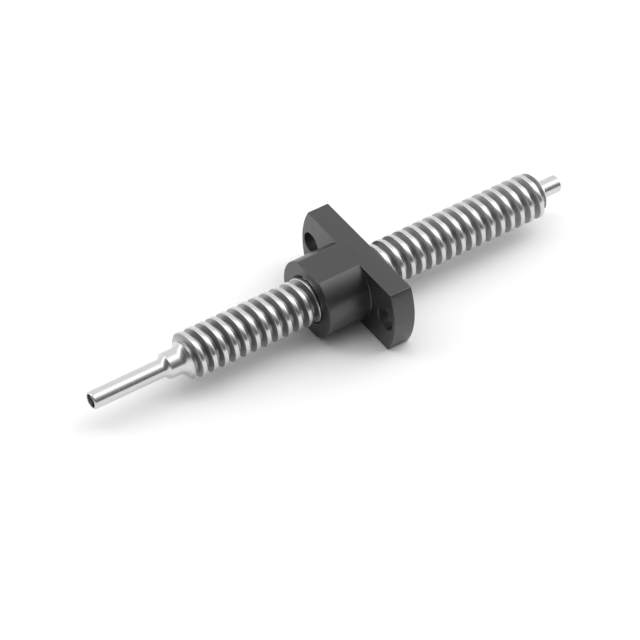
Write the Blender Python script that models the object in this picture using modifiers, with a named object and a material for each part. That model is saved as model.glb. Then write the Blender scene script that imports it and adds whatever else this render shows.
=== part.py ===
"""Lead screw with a flanged plastic nut.

One turned steel bar carries a Tr8x2 right-hand trapezoidal thread between plain
journals. One moulded nut with two mounting holes runs on it. The screw lies
along X and the nut stands on its lower flat: the origin is on the standing
surface, under the middle of the screw.
"""
import math

import bmesh
import bpy

MM = 0.001

# Thread: Tr8x2, single start, right-hand
THREAD_DIAMETER = 8.0 * MM
PITCH = 2.0 * MM
THREAD_CLEARANCE = 0.25 * MM          # radial, at crest and at root
FLANK_ANGLE = math.radians(15.0)      # half of the 30 degree profile
FLANK_CLEARANCE = 0.15 * MM           # along the axis, on each flank of the nut's tooth
FIRST_CREST = 1.09 * MM               # crest centre under the axis, from the foot of the thread's cone

# Lead screw, from the long journal's tip at -X to the short journal's tip at +X
LONG_JOURNAL_LENGTH = 13.0 * MM       # to the foot of the seat's cone
SEAT_LENGTH = 2.95 * MM               # from the foot of the seat's cone to the foot of the thread's
THREAD_LENGTH = 70.35 * MM            # with the cone at its start
END_CHAMFER_FOOT = 2.8 * MM           # radius at the foot of the 45 degree chamfer at the thread's end
SHORT_JOURNAL_LENGTH = 4.1 * MM
JOURNAL_DIAMETER = 3.0 * MM
SEAT_DIAMETER = 4.4 * MM
JOURNAL_CHAMFER = 0.15 * MM
CONE_ANGLE = math.radians(50.0)       # of the seat's and the thread's cones, from the axis
SEAT_FILLET = 0.8 * MM                # between the long journal and the seat's cone
RUN_OUT_FILLET = 1.2 * MM             # between the seat and the thread's cone
END_BORE_DIAMETER = 2.3 * MM          # in the long journal's tip
END_BORE_DEPTH = 3.0 * MM
DRILL_POINT = math.radians(59.0)      # half of the angle at the bore's bottom
CENTRE_HOLE_DIAMETER = 1.2 * MM       # in the short journal's tip
CENTRE_HOLE_DEPTH = 1.0 * MM

# Flange nut, its barrel towards -X
NUT_ACROSS_FLATS = 12.0 * MM
FLANGE_DIAMETER = 26.0 * MM
FLANGE_THICKNESS = 4.0 * MM
BARREL_DIAMETER = 13.3 * MM
BARREL_LENGTH = 7.9 * MM
BARREL_START = 24.35 * MM             # from the foot of the thread's cone to the barrel's end face
NUT_EDGE_CHAMFER = 0.2 * MM
BARREL_FILLET = 0.4 * MM
BORE_MOUTH_DIAMETER = 8.6 * MM
MOUNT_HOLE_DIAMETER = 3.8 * MM
MOUNT_HOLE_SPACING = 20.8 * MM

# Points closer than this are one point
WELD = 0.001 * MM

# How far a cutting solid passes the surface that it cuts
OVERRUN = 0.5 * MM

# Facets
THREAD_STEPS = 20                     # per turn, also round the screw's core and the nut's bore
NUT_STEPS = 60
HOLE_STEPS = 24
FILLET_STEPS = 4

# Worked out from the sizes above
BASIC_DEPTH = PITCH / 2
CREST_RADIUS = THREAD_DIAMETER / 2
ROOT_RADIUS = CREST_RADIUS - BASIC_DEPTH - THREAD_CLEARANCE
PITCH_RADIUS = CREST_RADIUS - BASIC_DEPTH / 2
NUT_CREST_RADIUS = CREST_RADIUS - BASIC_DEPTH
NUT_ROOT_RADIUS = CREST_RADIUS + THREAD_CLEARANCE
SCREW_LENGTH = LONG_JOURNAL_LENGTH + SEAT_LENGTH + THREAD_LENGTH + SHORT_JOURNAL_LENGTH
SCREW_START = -SCREW_LENGTH / 2
SEAT_START = SCREW_START + LONG_JOURNAL_LENGTH
THREAD_START = SEAT_START + SEAT_LENGTH
THREAD_END = THREAD_START + THREAD_LENGTH
SCREW_END = THREAD_END + SHORT_JOURNAL_LENGTH
NUT_START = THREAD_START + BARREL_START
FLANGE_START = NUT_START + BARREL_LENGTH
NUT_END = FLANGE_START + FLANGE_THICKNESS
AXIS_HEIGHT = NUT_ACROSS_FLATS / 2


def clear_scene():
    """Remove every object that the scene starts with."""
    for item in list(bpy.data.objects):
        bpy.data.objects.remove(item, do_unlink=True)


def new_collection(name):
    collection = bpy.data.collections.new(name)
    bpy.context.scene.collection.children.link(collection)
    return collection


def make_material(name, colour, metallic, roughness):
    material = bpy.data.materials.new(name)
    material.use_nodes = True
    shader = material.node_tree.nodes["Principled BSDF"]
    shader.inputs["Base Color"].default_value = (*colour, 1.0)
    shader.inputs["Metallic"].default_value = metallic
    shader.inputs["Roughness"].default_value = roughness
    return material


def lay_along_x(item, nut_frame=False):
    """Turn an object's local Z to world +X, on the screw's axis."""
    item.rotation_euler = (0.0, math.pi / 2, 0.0)
    item.location = (NUT_START if nut_frame else 0.0, 0.0, AXIS_HEIGHT)


def mark_as_cutter(item):
    item.hide_render = True
    item.display_type = "WIRE"


def turned(name, profile, steps, collection):
    """A solid of revolution about local Z. The profile is (radius, z) pairs, from +Z to -Z."""
    mesh = bpy.data.meshes.new(name)
    points = [(radius, 0.0, z) for radius, z in profile]
    edges = [(i, i + 1) for i in range(len(points) - 1)]
    mesh.from_pydata(points, edges, [])
    item = bpy.data.objects.new(name, mesh)
    collection.objects.link(item)
    screw = item.modifiers.new("turn", "SCREW")
    screw.steps = steps
    screw.render_steps = steps
    screw.use_merge_vertices = True
    screw.merge_threshold = WELD
    return item


def threaded_rod(name, root_radius, crest_radius, pitch_width, start, end, collection):
    """A closed right-hand threaded rod about X, its crests in step with the screw's.

    pitch_width is the ridge's width along the axis at the pitch radius. The rod
    runs beyond start and end.
    """
    def half_width(radius):
        return pitch_width / 2 - (radius - PITCH_RADIUS) * math.tan(FLANK_ANGLE)

    turns_before = math.ceil((THREAD_START + FIRST_CREST - start) / PITCH) + 1
    first_centre = THREAD_START + FIRST_CREST - turns_before * PITCH
    turns = math.ceil((end - first_centre) / PITCH) + 1
    last_centre = first_centre + turns * PITCH
    form = [
        (root_radius, PITCH / 2),
        (root_radius, half_width(root_radius)),
        (crest_radius, half_width(crest_radius)),
        (crest_radius, -half_width(crest_radius)),
        (root_radius, -half_width(root_radius)),
        (root_radius, -PITCH / 2),
    ]
    mesh = bpy.data.meshes.new(name + "_form")
    points = [(radius, 0.0, first_centre + z) for radius, z in form]
    edges = [(i, i + 1) for i in range(len(points) - 1)]
    mesh.from_pydata(points, edges, [])
    guide = bpy.data.objects.new(name + "_guide", mesh)
    collection.objects.link(guide)
    screw = guide.modifiers.new("wind", "SCREW")
    screw.screw_offset = PITCH
    screw.iterations = turns
    screw.steps = THREAD_STEPS
    screw.render_steps = THREAD_STEPS
    bpy.context.view_layer.update()
    wound = bpy.data.meshes.new_from_object(guide.evaluated_get(bpy.context.evaluated_depsgraph_get()))
    bpy.data.objects.remove(guide, do_unlink=True)

    shape = bmesh.new()
    shape.from_mesh(wound)
    bmesh.ops.remove_doubles(shape, verts=shape.verts, dist=WELD)
    middle = (first_centre + last_centre) / 2
    for centre in (first_centre, last_centre):
        rim = [
            edge for edge in shape.edges
            if edge.is_boundary and (edge.verts[0].co.z > middle) == (centre > middle)
        ]
        cap = bmesh.ops.extrude_edge_only(shape, edges=rim)["geom"]
        tips = [part for part in cap if isinstance(part, bmesh.types.BMVert)]
        bmesh.ops.pointmerge(shape, verts=tips, merge_co=(0.0, 0.0, centre))
    bmesh.ops.recalc_face_normals(shape, faces=shape.faces)
    bmesh.ops.triangulate(shape, faces=shape.faces)
    shape.to_mesh(wound)
    shape.free()

    rod = bpy.data.objects.new(name, wound)
    collection.objects.link(rod)
    lay_along_x(rod)
    return rod


def foot_arc(radius, foot, fillet):
    """Profile points from a cone that rises towards +X, round its filleted foot, to a cylinder."""
    start = foot - fillet * math.tan(CONE_ANGLE / 2)
    turns = [CONE_ANGLE * (1 - i / FILLET_STEPS) for i in range(FILLET_STEPS + 1)]
    return [
        (radius + fillet * (1 - math.cos(turn)), start + fillet * math.sin(turn))
        for turn in turns
    ]


def boolean(item, operation, other):
    modifier = item.modifiers.new(operation.lower() + "_" + other.name, "BOOLEAN")
    modifier.operation = operation
    modifier.solver = "EXACT"
    modifier.object = other


def finish_part(item, material):
    item.data.materials.append(material)
    item.data.shade_smooth()
    bpy.context.view_layer.objects.active = item
    item.data.set_sharp_from_angle(angle=math.radians(30.0))


def make_lead_screw(parts, cutters):
    """A threaded bar turned down to its journals and seat, with coned thread ends."""
    journal = JOURNAL_DIAMETER / 2
    seat = SEAT_DIAMETER / 2
    end_bore = END_BORE_DIAMETER / 2
    end_bore_bottom = SCREW_START + END_BORE_DEPTH
    outside = CREST_RADIUS + OVERRUN
    blank = turned(
        "turned_blank",
        [
            (0.0, SCREW_END - CENTRE_HOLE_DEPTH),
            (CENTRE_HOLE_DIAMETER / 2, SCREW_END),
            (journal - JOURNAL_CHAMFER, SCREW_END),
            (journal, SCREW_END - JOURNAL_CHAMFER),
            (journal, THREAD_END),
            (END_CHAMFER_FOOT, THREAD_END),
            (outside, THREAD_END - (outside - END_CHAMFER_FOOT)),
            (outside, THREAD_START + (outside - seat) / math.tan(CONE_ANGLE)),
            *foot_arc(seat, THREAD_START, RUN_OUT_FILLET),
            (seat, SEAT_START + (seat - journal) / math.tan(CONE_ANGLE)),
            *foot_arc(journal, SEAT_START, SEAT_FILLET),
            (journal, SCREW_START + JOURNAL_CHAMFER),
            (journal - JOURNAL_CHAMFER, SCREW_START),
            (end_bore, SCREW_START),
            (end_bore, end_bore_bottom),
            (0.0, end_bore_bottom + end_bore / math.tan(DRILL_POINT)),
        ],
        THREAD_STEPS,
        cutters,
    )
    lay_along_x(blank)
    mark_as_cutter(blank)
    screw = threaded_rod(
        "lead_screw", ROOT_RADIUS, CREST_RADIUS, PITCH / 2, SCREW_START, SCREW_END, parts
    )
    boolean(screw, "INTERSECT", blank)
    return screw


def make_flange_nut(parts, cutters):
    """The moulded nut: barrel and flange with two flats, threaded bore and two holes."""
    flange = FLANGE_DIAMETER / 2
    barrel = BARREL_DIAMETER / 2
    length = BARREL_LENGTH + FLANGE_THICKNESS
    fillet = [
        (
            barrel + BARREL_FILLET * (1 - math.cos(turn)),
            BARREL_LENGTH - BARREL_FILLET * (1 - math.sin(turn)),
        )
        for turn in [math.pi / 2 * (1 - i / FILLET_STEPS) for i in range(FILLET_STEPS + 1)]
    ]
    profile = [
        (0.0, length),
        (flange - NUT_EDGE_CHAMFER, length),
        (flange, length - NUT_EDGE_CHAMFER),
        (flange, BARREL_LENGTH + NUT_EDGE_CHAMFER),
        (flange - NUT_EDGE_CHAMFER, BARREL_LENGTH),
        *fillet,
        (barrel, NUT_EDGE_CHAMFER),
        (barrel - NUT_EDGE_CHAMFER, 0.0),
        (0.0, 0.0),
    ]
    nut = turned("flange_nut", profile, NUT_STEPS, parts)
    lay_along_x(nut, nut_frame=True)

    bpy.ops.mesh.primitive_cube_add(size=1.0, location=(0.0, 0.0, AXIS_HEIGHT))
    slab = bpy.context.object
    slab.name = "flats_slab"
    slab.scale = (4 * SCREW_LENGTH, 2 * FLANGE_DIAMETER, NUT_ACROSS_FLATS)
    bpy.ops.object.transform_apply(location=False, rotation=False, scale=True)
    move_to(slab, cutters)
    mark_as_cutter(slab)
    boolean(nut, "INTERSECT", slab)

    thread = threaded_rod(
        "nut_thread",
        NUT_CREST_RADIUS,
        NUT_ROOT_RADIUS,
        PITCH / 2 + 2 * FLANK_CLEARANCE,
        NUT_START,
        NUT_END,
        cutters,
    )
    mark_as_cutter(thread)
    boolean(nut, "DIFFERENCE", thread)

    mouth = BORE_MOUTH_DIAMETER / 2
    for label, face, inward in (("barrel", 0.0, 1), ("flange", length, -1)):
        cone = [
            (mouth + OVERRUN, face - inward * OVERRUN),
            (0.0, face + inward * mouth),
        ]
        lid = [(0.0, face - inward * OVERRUN)]
        profile = lid + cone if inward < 0 else list(reversed(lid + cone))
        countersink = turned(label + "_mouth", profile, THREAD_STEPS, cutters)
        lay_along_x(countersink, nut_frame=True)
        mark_as_cutter(countersink)
        boolean(nut, "DIFFERENCE", countersink)

    for side, label in ((-1, "front"), (1, "rear")):
        bpy.ops.mesh.primitive_cylinder_add(
            vertices=HOLE_STEPS,
            radius=MOUNT_HOLE_DIAMETER / 2,
            depth=3 * FLANGE_THICKNESS,
            location=(
                (FLANGE_START + NUT_END) / 2,
                side * MOUNT_HOLE_SPACING / 2,
                AXIS_HEIGHT,
            ),
            rotation=(0.0, math.pi / 2, 0.0),
        )
        hole = bpy.context.object
        hole.name = "mount_hole_" + label
        move_to(hole, cutters)
        mark_as_cutter(hole)
        boolean(nut, "DIFFERENCE", hole)
    return nut


def move_to(item, collection):
    for old in list(item.users_collection):
        old.objects.unlink(item)
    collection.objects.link(item)


def main():
    clear_scene()
    parts = new_collection("lead_screw_and_nut")
    cutters = new_collection("cutters")
    steel = make_material("ground_steel", (0.62, 0.62, 0.61), 1.0, 0.25)
    plastic = make_material("black_acetal", (0.022, 0.022, 0.024), 0.0, 0.42)
    finish_part(make_lead_screw(parts, cutters), steel)
    finish_part(make_flange_nut(parts, cutters), plastic)


main()
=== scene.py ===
"""The looks of the lead screw with its flanged nut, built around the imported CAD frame.

Both CAD nodes are replaced by finer meshes of the same sizes: a threaded bar with
rounded crests and roots, and a moulded nut with softened edges.
"""

import math

import bmesh
import bpy
from mathutils import Matrix, Vector


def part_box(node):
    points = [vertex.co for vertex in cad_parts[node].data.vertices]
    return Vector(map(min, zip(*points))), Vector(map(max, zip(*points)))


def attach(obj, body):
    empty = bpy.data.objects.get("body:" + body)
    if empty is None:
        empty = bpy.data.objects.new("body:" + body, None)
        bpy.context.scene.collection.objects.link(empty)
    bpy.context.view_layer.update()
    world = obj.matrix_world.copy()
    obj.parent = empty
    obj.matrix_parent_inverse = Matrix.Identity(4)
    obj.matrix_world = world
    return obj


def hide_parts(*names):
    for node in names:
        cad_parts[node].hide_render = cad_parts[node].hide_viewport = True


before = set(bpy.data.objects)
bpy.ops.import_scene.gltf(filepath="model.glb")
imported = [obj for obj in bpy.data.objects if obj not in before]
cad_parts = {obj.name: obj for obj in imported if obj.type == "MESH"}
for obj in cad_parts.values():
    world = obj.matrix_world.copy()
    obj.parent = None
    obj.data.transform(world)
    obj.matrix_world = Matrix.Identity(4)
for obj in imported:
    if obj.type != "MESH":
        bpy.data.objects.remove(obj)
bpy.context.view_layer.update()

MM = 0.001

# Thread form, Tr8x2
PITCH = 2.0 * MM
THREAD_CLEARANCE = 0.25 * MM
FLANK_CLEARANCE = 0.15 * MM
FLANK_ANGLE = math.radians(15.0)
FIRST_CREST = 1.09 * MM
CREST_ROUNDING = 0.11 * MM
ROOT_ROUNDING = 0.14 * MM

# Lead screw
LONG_JOURNAL_LENGTH = 13.0 * MM
SEAT_LENGTH = 2.95 * MM
SHORT_JOURNAL_LENGTH = 4.1 * MM
JOURNAL_RADIUS = 1.5 * MM
SEAT_RADIUS = 2.2 * MM
JOURNAL_CHAMFER = 0.15 * MM
END_CHAMFER_FOOT = 2.8 * MM
CONE_ANGLE = math.radians(50.0)
SEAT_FILLET = 0.8 * MM
RUN_OUT_FILLET = 1.2 * MM
END_BORE_RADIUS = 1.15 * MM
END_BORE_DEPTH = 3.0 * MM
DRILL_POINT = math.radians(59.0)
CENTRE_HOLE_RADIUS = 0.6 * MM
CENTRE_HOLE_DEPTH = 1.0 * MM
SOFT_EDGE = 0.05 * MM

# Flange nut
BARREL_RADIUS = 6.65 * MM
BARREL_LENGTH = 7.9 * MM
BORE_MOUTH_RADIUS = 4.3 * MM
MOUNT_HOLE_RADIUS = 1.9 * MM
MOUNT_HOLE_SPACING = 20.8 * MM
HOLE_CHAMFER = 0.08 * MM
EDGE_ROUNDING = 0.16 * MM

# Facets
THREAD_STEPS = 72
HOLE_STEPS = 64
ARC_STEPS = 40
ROUNDING_STEPS = 3
FILLET_STEPS = 6
WELD = 0.0005 * MM
STRAIGHT = 0.01
ROUNDED_EDGE_ANGLE = math.radians(15.0)
SCREW_SHARP_ANGLE = math.radians(40.0)
NUT_SHARP_ANGLE = math.radians(30.0)

# How far a cutting solid passes the surface that it cuts
OVERRUN = 0.5 * MM

# Steel. Where two values are given, noise or a place on the screw runs from one to the other.
CLEAN_STEEL = ((0.58, 0.58, 0.575, 1.0), (0.70, 0.70, 0.695, 1.0))
# Down in the thread the colour is painted shade: darker steel in the grooves, below the crests
GROOVE_SHADE_STEEL = ((0.33, 0.33, 0.327, 1.0), (0.57, 0.57, 0.566, 1.0))
# The painted groove shade is deepest at the thread's start and fades along the thread
DEEPEST_GROOVE_SHADE = (0.10, 0.10, 0.10, 1.0)
GROOVE_SHADE_ALONG_THREAD = (0.36, 0.0)
STEEL_ROUGHNESS = (0.20, 0.28)
GROOVE_ROUGHNESS = 0.14
GROOVE_SHADE_BELOW_CREST = (0.16 * MM, 0.04 * MM)
GROOVE_SHADE_FROM_THREAD_START = (0.75 * MM, 1.45 * MM)
GROOVE_SHADE_TO_THREAD_END = (0.9 * MM, 0.2 * MM)
TURNING_BUMP = 0.25
TURNING_HEIGHT = 0.004 * MM
FINE_LINES_SHARE = 0.5

# Plastic
SKIN = ((0.011, 0.011, 0.0115, 1.0), (0.019, 0.019, 0.0195, 1.0))
RUBBED_SKIN = (0.045, 0.045, 0.046, 1.0)
RUBBED_POINTINESS = (0.52, 0.60)
RUBBED_SHARE = 0.6
SKIN_ROUGHNESS = (0.25, 0.32)
GRAIN_ROUGHNESS = 0.06
SKIN_IOR = 1.72
GRAIN_BUMP = 0.35
GRAIN_HEIGHT = 0.01 * MM
FLOW_MARKS_SHARE = 0.4

# Noise features per metre along X, Y and Z
BLOTCHES = (220.0, 500.0, 500.0)
TURNING_LINES = (9000.0, 250.0, 250.0)
FINE_LINES = (26000.0, 700.0, 700.0)
MOTTLE = (2200.0, 2200.0, 2200.0)
GRAIN = (9000.0, 9000.0, 9000.0)
CLOUD = (260.0, 260.0, 260.0)
FLOW_MARKS = (150.0, 900.0, 150.0)
NOISE_SPAN = (0.3, 0.7)

# Floor
FLOOR_HALF_SIZE = 4.0
FLOOR_GAP = 0.01 * MM
FLOOR_COLOUR = (0.95, 0.95, 0.95, 1.0)
FLOOR_ROUGHNESS = 0.9

# Light, against a white floor at 1. Pairs are the leans or sides between which a light comes or goes.
SOFTBOX_RADIANCE = 2.45
SOFTBOX_FALLOFF = 0.22
WALL_RADIANCE = 1.0
WALL_TOP = (-0.32, -0.24)
WINDOW_RADIANCE = 2.6
WINDOW_SIDE = (0.35, 0.6)
WINDOW_FOOT = (-0.98, -0.9)
WINDOW_TOP = (-0.5, -0.3)
ROOM_RADIANCE = 0.10

# Camera, fitted to the photo's view
CAMERA_AZIMUTH = math.radians(35.636)
CAMERA_ELEVATION = math.radians(45.048)
CAMERA_ROLL = math.radians(1.614)
CAMERA_DISTANCE = 0.49736
CAMERA_SENSOR_WIDTH = 36.0
CAMERA_LENS = 175.3
CAMERA_CLIP = (0.01, 20.0)
AIM_PAST_NUT_FRONT = 2.175 * MM
CAMERA_TO_RIGHT = 0.302 * MM
CAMERA_DOWN = 4.05 * MM

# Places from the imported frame
screw_low, screw_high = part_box("lead_screw")
nut_low, nut_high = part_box("flange_nut")
SCREW_START = screw_low[0]
SCREW_END = screw_high[0]
AXIS_HEIGHT = (screw_low[2] + screw_high[2]) / 2
CREST_RADIUS = (screw_high[2] - screw_low[2]) / 2
SEAT_START = SCREW_START + LONG_JOURNAL_LENGTH
THREAD_START = SEAT_START + SEAT_LENGTH
THREAD_END = SCREW_END - SHORT_JOURNAL_LENGTH
ROOT_RADIUS = CREST_RADIUS - PITCH / 2 - THREAD_CLEARANCE
PITCH_RADIUS = CREST_RADIUS - PITCH / 4
NUT_CREST_RADIUS = CREST_RADIUS - PITCH / 2
NUT_ROOT_RADIUS = CREST_RADIUS + THREAD_CLEARANCE
NUT_START = nut_low[0]
NUT_END = nut_high[0]
FLANGE_START = NUT_START + BARREL_LENGTH
FLANGE_RADIUS = (nut_high[1] - nut_low[1]) / 2
HALF_FLATS = (nut_high[2] - nut_low[2]) / 2
ALONG_X = Matrix.Translation((0.0, 0.0, AXIS_HEIGHT)) @ Matrix.Rotation(math.pi / 2, 4, "Y")


# ---------------------------------------------------------------- mesh helpers

def link(name, mesh):
    """A new object in the scene with the given mesh."""
    item = bpy.data.objects.new(name, mesh)
    bpy.context.scene.collection.objects.link(item)
    return item


def rounded(points, radii, steps):
    """A polyline of 2D points with its inner corners turned into arcs of the given radii."""
    result = [tuple(points[0])]
    for index in range(1, len(points) - 1):
        before, corner, after = (Vector(points[index + shift]) for shift in (-1, 0, 1))
        radius = radii[index]
        back = (before - corner).normalized()
        ahead = (after - corner).normalized()
        half = back.angle(ahead) / 2
        if radius <= 0.0 or math.pi / 2 - half < STRAIGHT:
            result.append(tuple(corner))
            continue
        centre = corner + (back + ahead).normalized() * (radius / math.sin(half))
        first = corner + back * (radius / math.tan(half)) - centre
        last = corner + ahead * (radius / math.tan(half)) - centre
        sweep = first.angle_signed(last)
        for step in range(steps + 1):
            turn = -sweep * step / steps
            spoke = Vector((
                first.x * math.cos(turn) - first.y * math.sin(turn),
                first.x * math.sin(turn) + first.y * math.cos(turn),
            ))
            result.append(tuple(centre + spoke))
    result.append(tuple(points[-1]))
    return result


def polyline(name, profile):
    """A mesh of edges in the XZ plane, through (radius, z) pairs."""
    mesh = bpy.data.meshes.new(name)
    mesh.from_pydata(
        [(radius, 0.0, z) for radius, z in profile],
        [(i, i + 1) for i in range(len(profile) - 1)],
        [],
    )
    return mesh


def evaluated_mesh(item):
    """The object's mesh with its modifiers applied; the object itself is removed."""
    bpy.context.view_layer.update()
    depsgraph = bpy.context.evaluated_depsgraph_get()
    mesh = bpy.data.meshes.new_from_object(item.evaluated_get(depsgraph))
    bpy.data.objects.remove(item, do_unlink=True)
    return mesh


def turned(name, profile, steps):
    """A solid of revolution about the screw's axis. The profile is (radius, x) pairs, from +X to -X."""
    guide = link(name + "_guide", polyline(name, profile))
    screw = guide.modifiers.new("turn", "SCREW")
    screw.steps = steps
    screw.render_steps = steps
    screw.use_merge_vertices = True
    screw.merge_threshold = WELD
    solid = link(name, evaluated_mesh(guide))
    solid.data.transform(ALONG_X)
    return solid


def threaded_rod(name, root_radius, crest_radius, pitch_width, crest_rounding, root_rounding, start, end):
    """A closed right-hand threaded rod about the screw's axis, running past start and end."""

    def half_width(radius):
        return pitch_width / 2 - (radius - PITCH_RADIUS) * math.tan(FLANK_ANGLE)

    turns_before = math.ceil((THREAD_START + FIRST_CREST - start) / PITCH) + 1
    first_centre = THREAD_START + FIRST_CREST - turns_before * PITCH
    turns = math.ceil((end - first_centre) / PITCH) + 1
    last_centre = first_centre + turns * PITCH
    form = rounded(
        [
            (root_radius, PITCH / 2),
            (root_radius, half_width(root_radius)),
            (crest_radius, half_width(crest_radius)),
            (crest_radius, -half_width(crest_radius)),
            (root_radius, -half_width(root_radius)),
            (root_radius, -PITCH / 2),
        ],
        [0.0, root_rounding, crest_rounding, crest_rounding, root_rounding, 0.0],
        ROUNDING_STEPS,
    )
    placed_form = [(radius, first_centre + x) for radius, x in form]
    guide = link(name + "_guide", polyline(name + "_form", placed_form))
    screw = guide.modifiers.new("wind", "SCREW")
    screw.screw_offset = PITCH
    screw.iterations = turns
    screw.steps = THREAD_STEPS
    screw.render_steps = THREAD_STEPS
    wound = evaluated_mesh(guide)

    # Close both ends with a fan to a point on the axis
    shape = bmesh.new()
    shape.from_mesh(wound)
    bmesh.ops.remove_doubles(shape, verts=shape.verts, dist=WELD)
    middle = (first_centre + last_centre) / 2
    for centre in (first_centre, last_centre):
        rim = [
            edge for edge in shape.edges
            if edge.is_boundary and (edge.verts[0].co.z > middle) == (centre > middle)
        ]
        cap = bmesh.ops.extrude_edge_only(shape, edges=rim)["geom"]
        tips = [part for part in cap if isinstance(part, bmesh.types.BMVert)]
        bmesh.ops.pointmerge(shape, verts=tips, merge_co=(0.0, 0.0, centre))
    bmesh.ops.recalc_face_normals(shape, faces=shape.faces)
    shape.to_mesh(wound)
    shape.free()
    wound.transform(ALONG_X)
    return link(name, wound)


def boolean(item, operation, other):
    """Cut the object with another, or keep what both share. The other is used up."""
    name = item.name
    modifier = item.modifiers.new(operation, "BOOLEAN")
    modifier.operation = operation
    modifier.solver = "EXACT"
    modifier.object = other
    mesh = evaluated_mesh(item)
    bpy.data.objects.remove(other, do_unlink=True)
    return link(name, mesh)


def clean(mesh):
    """Weld the slivers that the cuts leave, and close the facets that they drop."""
    shape = bmesh.new()
    shape.from_mesh(mesh)
    bmesh.ops.remove_doubles(shape, verts=shape.verts, dist=WELD)
    bmesh.ops.dissolve_degenerate(shape, dist=WELD, edges=shape.edges)
    open_edges = [edge for edge in shape.edges if edge.is_boundary]
    bmesh.ops.holes_fill(shape, edges=open_edges)
    bmesh.ops.recalc_face_normals(shape, faces=shape.faces)
    shape.to_mesh(mesh)
    shape.free()


def finish_piece(item, body, node, material, sharp_angle):
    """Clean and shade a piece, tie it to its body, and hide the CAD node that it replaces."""
    clean(item.data)
    item.data.materials.clear()
    item.data.materials.append(material)
    item.data.shade_smooth()
    item.data.set_sharp_from_angle(angle=sharp_angle)
    weighted = item.modifiers.new("even_shading", "WEIGHTED_NORMAL")
    weighted.keep_sharp = True
    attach(item, body)
    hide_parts(node)


# ---------------------------------------------------------------- the pieces

def make_screw():
    """Threaded bar turned down to its journals and seat, with softened edges."""
    tip = JOURNAL_RADIUS - JOURNAL_CHAMFER
    outside = CREST_RADIUS + OVERRUN
    end_bore_bottom = SCREW_START + END_BORE_DEPTH
    corners = [
        ((0.0, SCREW_END - CENTRE_HOLE_DEPTH), 0.0),
        ((CENTRE_HOLE_RADIUS, SCREW_END), SOFT_EDGE),
        ((tip, SCREW_END), SOFT_EDGE),
        ((JOURNAL_RADIUS, SCREW_END - JOURNAL_CHAMFER), SOFT_EDGE),
        ((JOURNAL_RADIUS, THREAD_END), SOFT_EDGE),
        ((END_CHAMFER_FOOT, THREAD_END), SOFT_EDGE),
        ((outside, THREAD_END - (outside - END_CHAMFER_FOOT)), 0.0),
        ((outside, THREAD_START + (outside - SEAT_RADIUS) / math.tan(CONE_ANGLE)), 0.0),
        ((SEAT_RADIUS, THREAD_START), RUN_OUT_FILLET),
        ((SEAT_RADIUS, SEAT_START + (SEAT_RADIUS - JOURNAL_RADIUS) / math.tan(CONE_ANGLE)), SOFT_EDGE),
        ((JOURNAL_RADIUS, SEAT_START), SEAT_FILLET),
        ((JOURNAL_RADIUS, SCREW_START + JOURNAL_CHAMFER), SOFT_EDGE),
        ((tip, SCREW_START), SOFT_EDGE),
        ((END_BORE_RADIUS, SCREW_START), SOFT_EDGE),
        ((END_BORE_RADIUS, end_bore_bottom), 0.0),
        ((0.0, end_bore_bottom + END_BORE_RADIUS / math.tan(DRILL_POINT)), 0.0),
    ]
    profile = rounded([corner for corner, _ in corners], [radius for _, radius in corners], FILLET_STEPS)
    blank = turned("screw_blank", profile, THREAD_STEPS)
    rod = threaded_rod(
        "threaded_bar", ROOT_RADIUS, CREST_RADIUS, PITCH / 2,
        CREST_ROUNDING, ROOT_ROUNDING, SCREW_START, SCREW_END,
    )
    return boolean(rod, "INTERSECT", blank)


def arc(radius, start, end, steps):
    """Points (y, z) on a circle about the axis, both ends included."""
    angles = [start + (end - start) * i / steps for i in range(steps + 1)]
    return [
        (radius * math.cos(angle), AXIS_HEIGHT + radius * math.sin(angle))
        for angle in angles
    ]


def make_nut_body():
    """Barrel and flange in one closed mesh, cut by two flats, with every edge rounded."""
    barrel_corner = math.asin(HALF_FLATS / BARREL_RADIUS)
    flange_corner = math.asin(HALF_FLATS / FLANGE_RADIUS)
    shape = bmesh.new()

    def ring(points, x):
        return [shape.verts.new((x, y, z)) for y, z in points]

    halves = []
    for side in (0.0, math.pi):
        barrel_arc = arc(BARREL_RADIUS, side - barrel_corner, side + barrel_corner, ARC_STEPS)
        flange_arc = arc(FLANGE_RADIUS, side - flange_corner, side + flange_corner, ARC_STEPS)
        barrel_front = ring(barrel_arc, NUT_START)
        barrel_back = ring(barrel_arc, FLANGE_START)
        flange_front = ring(flange_arc, FLANGE_START)
        flange_back = ring(flange_arc, NUT_END)
        for first, second in ((barrel_front, barrel_back), (flange_front, flange_back)):
            for i in range(ARC_STEPS):
                shape.faces.new((first[i], first[i + 1], second[i + 1], second[i]))
        shape.faces.new(barrel_back + list(reversed(flange_front)))
        halves.append((barrel_front, barrel_back, flange_front, flange_back))
    right, left = halves

    # The barrel's front face, the flange's back face and the two flats
    shape.faces.new(right[0] + left[0])
    shape.faces.new(right[-1] + left[-1])
    for near, far in ((-1, 0), (0, -1)):
        outline = [rim[near] for rim in right]
        outline += [rim[far] for rim in reversed(left)]
        shape.faces.new(outline)
    bmesh.ops.recalc_face_normals(shape, faces=shape.faces)
    mesh = bpy.data.meshes.new("nut_body")
    shape.to_mesh(mesh)
    shape.free()
    body = link("nut_body", mesh)
    bevel = body.modifiers.new("round_edges", "BEVEL")
    bevel.width = EDGE_ROUNDING
    bevel.segments = ROUNDING_STEPS
    bevel.limit_method = "ANGLE"
    bevel.angle_limit = ROUNDED_EDGE_ANGLE
    bevel.use_clamp_overlap = False
    return link("nut_body", evaluated_mesh(body))


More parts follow.
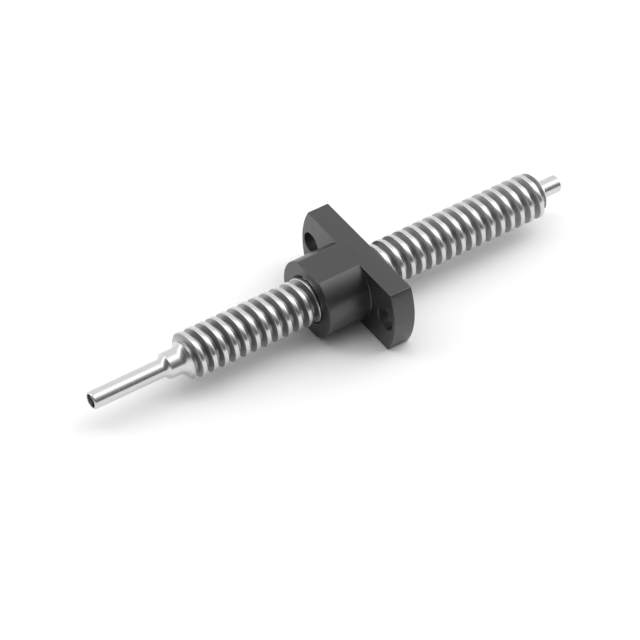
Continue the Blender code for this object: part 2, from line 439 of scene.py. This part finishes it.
def make_nut():
    """The moulded nut with its threaded bore, countersunk mouths and two mounting holes."""
    nut = make_nut_body()
    nut = boolean(nut, "DIFFERENCE", threaded_rod(
        "nut_thread", NUT_CREST_RADIUS, NUT_ROOT_RADIUS, PITCH / 2 + 2 * FLANK_CLEARANCE,
        ROOT_ROUNDING, CREST_ROUNDING, NUT_START, NUT_END,
    ))
    for face, inward in ((NUT_START, 1), (NUT_END, -1)):
        profile = [
            (0.0, face + inward * BORE_MOUTH_RADIUS),
            (BORE_MOUTH_RADIUS + OVERRUN, face - inward * OVERRUN),
            (0.0, face - inward * OVERRUN),
        ]
        profile = profile if inward > 0 else list(reversed(profile))
        nut = boolean(nut, "DIFFERENCE", turned("mouth", profile, THREAD_STEPS))
    chamfered = MOUNT_HOLE_RADIUS + HOLE_CHAMFER + OVERRUN
    profile = [
        (0.0, NUT_END + OVERRUN),
        (chamfered, NUT_END + OVERRUN),
        (MOUNT_HOLE_RADIUS, NUT_END - HOLE_CHAMFER),
        (MOUNT_HOLE_RADIUS, FLANGE_START + HOLE_CHAMFER),
        (chamfered, FLANGE_START - OVERRUN),
        (0.0, FLANGE_START - OVERRUN),
    ]
    for side in (-1, 1):
        hole = turned("mount_hole", profile, HOLE_STEPS)
        hole.data.transform(Matrix.Translation((0.0, side * MOUNT_HOLE_SPACING / 2, 0.0)))
        nut = boolean(nut, "DIFFERENCE", hole)
    return nut


# ---------------------------------------------------------------- material helpers

def new_material(name):
    """A material with its node tree and its shader node."""
    material = bpy.data.materials.new(name)
    material.use_nodes = True
    return material, material.node_tree, material.node_tree.nodes["Principled BSDF"]


def feed(tree, socket, value):
    """Link an input to another node's output, or set it to a number, vector or colour."""
    if isinstance(value, bpy.types.NodeSocket):
        tree.links.new(value, socket)
    else:
        socket.default_value = value


def add(tree, kind, **inputs):
    """A node with some of its inputs fed, by name or by number as in i0."""
    node = tree.nodes.new(kind)
    for name, value in inputs.items():
        numbered = name[0] == "i" and name[1:].isdigit()
        feed(tree, node.inputs[int(name[1:]) if numbered else name], value)
    return node


def maths(tree, operation, first, second=0.0):
    node = add(tree, "ShaderNodeMath", i0=first, i1=second)
    node.operation = operation
    return node.outputs[0]


def dot(tree, vector, axis):
    node = add(tree, "ShaderNodeVectorMath", i0=vector, i1=axis)
    node.operation = "DOT_PRODUCT"
    return node.outputs["Value"]


def remap(tree, value, from_low, from_high, to_low, to_high):
    """The value run from one span to another, and clamped to it."""
    node = add(tree, "ShaderNodeMapRange", i0=value, i1=from_low, i2=from_high, i3=to_low, i4=to_high)
    return node.outputs[0]


def noise(tree, features, detail=3.0, roughness=0.5):
    """Noise in the object's own space, with so many features per metre along X, Y and Z."""
    position = add(tree, "ShaderNodeTexCoord").outputs["Object"]
    vector = add(tree, "ShaderNodeMapping", Vector=position, Scale=features).outputs[0]
    node = add(tree, "ShaderNodeTexNoise", Vector=vector, Scale=1.0, Detail=detail, Roughness=roughness)
    return node.outputs[0]


def mix_colour(tree, factor, first, second):
    """A mix of two colours. The node's sockets 6 and 7 are its colours, and output 2 the result."""
    node = tree.nodes.new("ShaderNodeMix")
    node.data_type = "RGBA"
    for index, value in ((0, factor), (6, first), (7, second)):
        feed(tree, node.inputs[index], value)
    return node.outputs[2]


def bump(tree, shader, strength, distance, height):
    """Small relief on the shader's surface."""
    node = add(tree, "ShaderNodeBump", Strength=strength, Distance=distance, Height=height)
    feed(tree, shader.inputs["Normal"], node.outputs[0])


def place_on_screw(tree):
    """How far a point is from the screw's axis, and its place along it, in metres."""
    position = add(tree, "ShaderNodeTexCoord").outputs["Object"]
    parts = add(tree, "ShaderNodeSeparateXYZ", i0=position)
    along, across, up = parts.outputs
    height = maths(tree, "SUBTRACT", up, AXIS_HEIGHT)
    square = maths(tree, "ADD", maths(tree, "MULTIPLY", across, across),
                   maths(tree, "MULTIPLY", height, height))
    return maths(tree, "SQRT", square), along


# ---------------------------------------------------------------- materials

def steel_material():
    """Bright turned steel with ground crests, and painted shade down in the thread: darker, rougher steel
    in the grooves.
    """
    material, tree, shader = new_material("ground_steel")
    radius, along = place_on_screw(tree)
    # Painted shade in the thread's grooves: below the crests, fading in after the thread's start and out
    # before its end. The same mask also makes the grooves rougher.
    groove_shade_starts, groove_shade_full = (THREAD_START + offset for offset in GROOVE_SHADE_FROM_THREAD_START)
    groove_shade_fades, groove_shade_ends = (THREAD_END - offset for offset in GROOVE_SHADE_TO_THREAD_END)
    groove_shade_floor, groove_shade_top = (CREST_RADIUS - offset for offset in GROOVE_SHADE_BELOW_CREST)
    in_thread = maths(tree, "MULTIPLY",
                      remap(tree, along, groove_shade_starts, groove_shade_full, 0.0, 1.0),
                      remap(tree, along, groove_shade_fades, groove_shade_ends, 1.0, 0.0))
    groove_shade_mask = maths(tree, "MULTIPLY", in_thread, remap(tree, radius, groove_shade_floor, groove_shade_top, 1.0, 0.0))

    blotches = noise(tree, BLOTCHES, detail=4.0)
    lines = noise(tree, TURNING_LINES, roughness=0.6)
    fine = noise(tree, FINE_LINES, detail=2.0, roughness=0.6)
    mottle = noise(tree, MOTTLE, detail=4.0, roughness=0.6)

    # The painted groove shade runs deeper towards the thread's start
    shade_deepening = remap(tree, along, THREAD_START, THREAD_END, *GROOVE_SHADE_ALONG_THREAD)
    bright = mix_colour(tree, blotches, *CLEAN_STEEL)
    groove_shade_colour = mix_colour(tree, shade_deepening, mix_colour(tree, mottle, *GROOVE_SHADE_STEEL), DEEPEST_GROOVE_SHADE)
    feed(tree, shader.inputs["Base Color"], mix_colour(tree, groove_shade_mask, bright, groove_shade_colour))
    feed(tree, shader.inputs["Metallic"], 1.0)
    rough = maths(tree, "ADD", remap(tree, lines, *NOISE_SPAN, *STEEL_ROUGHNESS),
                  maths(tree, "MULTIPLY", groove_shade_mask, GROOVE_ROUGHNESS))
    feed(tree, shader.inputs["Roughness"], rough)
    relief = maths(tree, "ADD", lines, maths(tree, "MULTIPLY", fine, FINE_LINES_SHARE))
    bump(tree, shader, TURNING_BUMP, TURNING_HEIGHT, relief)
    return material


def plastic_material():
    """Black moulded acetal: satin skin, fine grain, faint flow marks and lighter rubbed edges."""
    material, tree, shader = new_material("black_acetal")
    grain = noise(tree, GRAIN, detail=4.0, roughness=0.6)
    cloud = noise(tree, CLOUD)
    flow = noise(tree, FLOW_MARKS)

    edge = add(tree, "ShaderNodeNewGeometry").outputs["Pointiness"]
    rubbed = remap(tree, edge, *RUBBED_POINTINESS, 0.0, RUBBED_SHARE)
    colour = mix_colour(tree, rubbed, mix_colour(tree, cloud, *SKIN), RUBBED_SKIN)
    feed(tree, shader.inputs["Base Color"], colour)
    rough = maths(tree, "ADD", remap(tree, flow, *NOISE_SPAN, *SKIN_ROUGHNESS),
                  maths(tree, "MULTIPLY", grain, GRAIN_ROUGHNESS))
    feed(tree, shader.inputs["Roughness"], rough)
    feed(tree, shader.inputs["IOR"], SKIN_IOR)
    relief = maths(tree, "ADD", grain, maths(tree, "MULTIPLY", flow, FLOW_MARKS_SHARE))
    bump(tree, shader, GRAIN_BUMP, GRAIN_HEIGHT, relief)
    return material


def floor_material():
    material, tree, shader = new_material("pale_floor")
    feed(tree, shader.inputs["Base Color"], FLOOR_COLOUR)
    feed(tree, shader.inputs["Roughness"], FLOOR_ROUGHNESS)
    return material


# ---------------------------------------------------------------- stage, lights and camera

def make_floor():
    """A plain pale floor just under the nut's lower flat."""
    mesh = bpy.data.meshes.new("floor")
    shape = bmesh.new()
    bmesh.ops.create_grid(shape, x_segments=1, y_segments=1, size=FLOOR_HALF_SIZE)
    shape.to_mesh(mesh)
    shape.free()
    floor = link("floor", mesh)
    floor.location.z = nut_low[2] - FLOOR_GAP
    floor.data.materials.append(floor_material())


def make_world():
    """Soft studio light, laid out by the lean towards the camera and the side.

    A wide softbox spans the sky across the view, a little behind the vertical, and
    fades into the dark room on the camera's side. The walls on the far side are pale,
    with a brighter window past the screw's short end.
    """
    world = bpy.data.worlds.new("studio")
    world.use_nodes = True
    tree = world.node_tree
    direction = add(tree, "ShaderNodeTexCoord").outputs["Generated"]
    along = dot(tree, direction, (-math.sin(CAMERA_AZIMUTH), -math.cos(CAMERA_AZIMUTH), 0.0))
    sideways = dot(tree, direction, (math.cos(CAMERA_AZIMUTH), -math.sin(CAMERA_AZIMUTH), 0.0))
    height = add(tree, "ShaderNodeSeparateXYZ", i0=direction).outputs[2]
    square = maths(tree, "ADD", maths(tree, "MULTIPLY", height, height),
                   maths(tree, "MULTIPLY", along, along))
    lean = maths(tree, "DIVIDE", along, maths(tree, "SQRT", square))

    nearness = maths(tree, "DIVIDE", maths(tree, "MAXIMUM", lean, 0.0), -SOFTBOX_FALLOFF)
    softbox = maths(tree, "MULTIPLY", maths(tree, "EXPONENT", nearness), SOFTBOX_RADIANCE)
    far_side = remap(tree, lean, *WALL_TOP, 1.0, 0.0)
    overhead = maths(tree, "MULTIPLY", maths(tree, "SUBTRACT", 1.0, far_side),
                     maths(tree, "ADD", softbox, ROOM_RADIANCE))
    walls = maths(tree, "MULTIPLY", far_side, WALL_RADIANCE)
    window_height = maths(tree, "MULTIPLY", remap(tree, lean, *WINDOW_FOOT, 0.0, 1.0),
                          remap(tree, lean, *WINDOW_TOP, 1.0, 0.0))
    window = maths(tree, "MULTIPLY", remap(tree, sideways, *WINDOW_SIDE, 0.0, WINDOW_RADIANCE),
                   window_height)
    strength = maths(tree, "ADD", maths(tree, "ADD", overhead, walls), window)

    # The backdrop behind the floor's far edge is white
    seen = add(tree, "ShaderNodeLightPath").outputs["Is Camera Ray"]
    background = tree.nodes["Background"]
    feed(tree, background.inputs["Color"], (1.0, 1.0, 1.0, 1.0))
    feed(tree, background.inputs["Strength"], maths(tree, "MAXIMUM", strength, seen))
    bpy.context.scene.world = world


def make_camera():
    """The view along the screw from its long journal, from above."""
    aim = Vector((nut_low[0] + AIM_PAST_NUT_FRONT, 0.0, AXIS_HEIGHT))
    level_right = Vector((math.cos(CAMERA_AZIMUTH), -math.sin(CAMERA_AZIMUTH), 0.0))
    forward = Vector((
        math.sin(CAMERA_AZIMUTH) * math.cos(CAMERA_ELEVATION),
        math.cos(CAMERA_AZIMUTH) * math.cos(CAMERA_ELEVATION),
        -math.sin(CAMERA_ELEVATION),
    ))
    level_up = level_right.cross(forward)
    right = level_right * math.cos(CAMERA_ROLL) + level_up * math.sin(CAMERA_ROLL)
    up = level_up * math.cos(CAMERA_ROLL) - level_right * math.sin(CAMERA_ROLL)
    data = bpy.data.cameras.new("camera")
    data.sensor_width = CAMERA_SENSOR_WIDTH
    data.lens = CAMERA_LENS
    data.clip_start, data.clip_end = CAMERA_CLIP
    camera = bpy.data.objects.new("camera", data)
    bpy.context.scene.collection.objects.link(camera)
    place = aim - forward * CAMERA_DISTANCE + right * CAMERA_TO_RIGHT - up * CAMERA_DOWN
    turn = Matrix((right, up, -forward)).transposed().to_4x4()
    camera.matrix_world = Matrix.Translation(place) @ turn
    bpy.context.scene.camera = camera


def main():
    make_camera()
    finish_piece(make_screw(), "screw", "lead_screw", steel_material(), SCREW_SHARP_ANGLE)
    finish_piece(make_nut(), "nut", "flange_nut", plastic_material(), NUT_SHARP_ANGLE)
    make_floor()
    make_world()
    view = bpy.context.scene.view_settings
    view.view_transform = "Standard"
    view.look = "None"


main()
